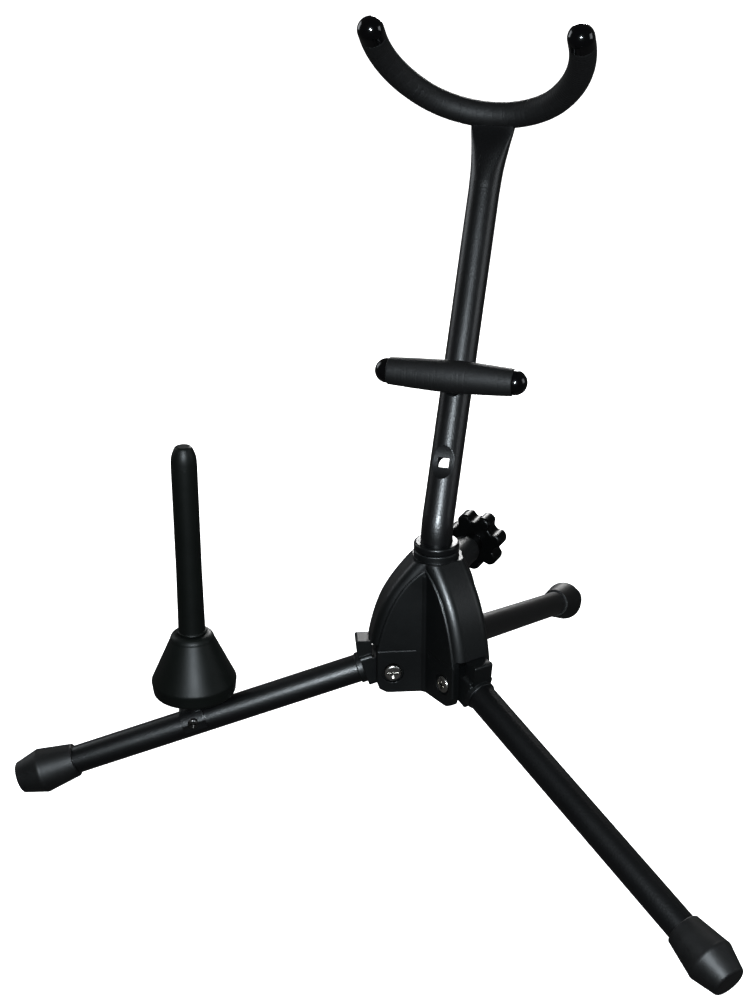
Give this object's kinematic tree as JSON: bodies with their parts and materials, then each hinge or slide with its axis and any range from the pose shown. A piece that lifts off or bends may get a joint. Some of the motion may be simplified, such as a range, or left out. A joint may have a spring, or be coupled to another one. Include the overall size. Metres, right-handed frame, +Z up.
{
  "type": "saxophone stand",
  "caption": "Folding tripod stand for a saxophone: domed hub with folding legs, leaning post, foam rest bar, foam yoke, clamp knob and screw-in instrument peg.",
  "frame": {"origin": "on the floor, under the middle of the box that holds the whole stand", "axes": "+Z up; -Y towards the player, the back leg points to +Y; +X to the player's right as seen from the front"},
  "size_m": [0.503, 0.438, 0.5007],
  "materials": {
    "black_steel": "black powder coat, fine texture, satin",
    "hub_plastic": "textured black ABS",
    "foam": "closed-cell foam, matt, fine wrinkles",
    "gloss_cap": "polished black plastic",
    "foot_rubber": "dull black rubber",
    "chrome_screw": "bright plated pan heads",
    "zinc_nut": "zinc plated",
    "nylon_bush": "moulded black nylon",
    "peg_plastic": "satin grey-black plastic"
  },
  "bodies": {
    "hub": {"hub_shell": "hub_plastic", "pivot_screws": "chrome_screw", "pivot_nuts": "zinc_nut", "clamp_nut": "zinc_nut"},
    "bush": {"clamp_bush": "nylon_bush"},
    "post": {"post_tube": "black_steel", "post_plug": "hub_plastic", "yoke_rod": "zinc_nut", "yoke_sleeve": "foam", "yoke_end_caps": "gloss_cap", "rest_rod": "zinc_nut", "rest_sleeve": "foam", "rest_end_caps": "gloss_cap", "rest_spacer": "black_steel", "rest_bolt": "chrome_screw", "rest_washer": "zinc_nut"},
    "leg_left": {"leg_tube_left": "black_steel", "leg_holder_left": "hub_plastic", "foot_left": "foot_rubber", "peg_saddle": "black_steel", "saddle_bolt": "chrome_screw", "saddle_nut": "zinc_nut"},
    "leg_right": {"leg_tube_right": "black_steel", "leg_holder_right": "hub_plastic", "foot_right": "foot_rubber"},
    "leg_back": {"leg_tube_back": "black_steel", "leg_holder_back": "hub_plastic", "foot_back": "foot_rubber"},
    "pad": {"clamp_pad": "nylon_bush"},
    "knob": {"clamp_screw": "chrome_screw", "knob_head": "hub_plastic"},
    "peg_base": {"peg_washer": "nylon_bush"},
    "peg": {"peg_stud": "zinc_nut", "peg_cone": "peg_plastic", "peg_rod": "peg_plastic", "peg_tip": "peg_plastic"}
  },
  "joints": [
    {"name": "leg_left_fold", "type": "hinge", "parent": "hub", "child": "leg_left", "pos_m": [-0.02563, -0.0828, 0.0885], "axis": [0.5, -0.866, 0], "range_deg": [0, 71.8]},
    {"name": "leg_right_fold", "type": "hinge", "parent": "hub", "child": "leg_right", "pos_m": [0.02563, -0.0828, 0.0885], "axis": [0.5, 0.866, 0], "range_deg": [0, 71.8]},
    {"name": "leg_back_fold", "type": "hinge", "parent": "hub", "child": "leg_back", "pos_m": [0, -0.0384, 0.0885], "axis": [-1, 0, 0], "range_deg": [0, 71.8]},
    {"name": "post_turn", "type": "hinge", "parent": "hub", "child": "bush", "pos_m": [0, -0.068, 0.14], "axis": [0, 0, 1], "continuous": true},
    {"name": "post_slide", "type": "slide", "parent": "bush", "child": "post", "axis": [0, 0, 1], "range_m": [0, 0.05]},
    {"name": "clamp_slide", "type": "slide", "parent": "hub", "child": "pad", "axis": [0, 1, 0], "range_m": [0, 0.0025]},
    {"name": "knob_turn", "type": "hinge", "parent": "pad", "child": "knob", "pos_m": [0, -0.018, 0.1504], "axis": [0, 1, 0], "range_deg": [0, 721]},
    {"name": "peg_lift", "type": "slide", "parent": "leg_left", "child": "peg_base", "axis": [0, 0, 1], "range_m": [0, 0.004]},
    {"name": "peg_turn", "type": "hinge", "parent": "peg_base", "child": "peg", "pos_m": [-0.14076, -0.14927, 0.1], "axis": [0, 0, 1], "range_deg": [0, 1441]}
  ],
  "couplings": [
    {"joint": "knob_turn", "follows": "clamp_slide", "rad_per_m": 5026.5},
    {"joint": "peg_turn", "follows": "peg_lift", "rad_per_m": 6283.2}
  ]
}
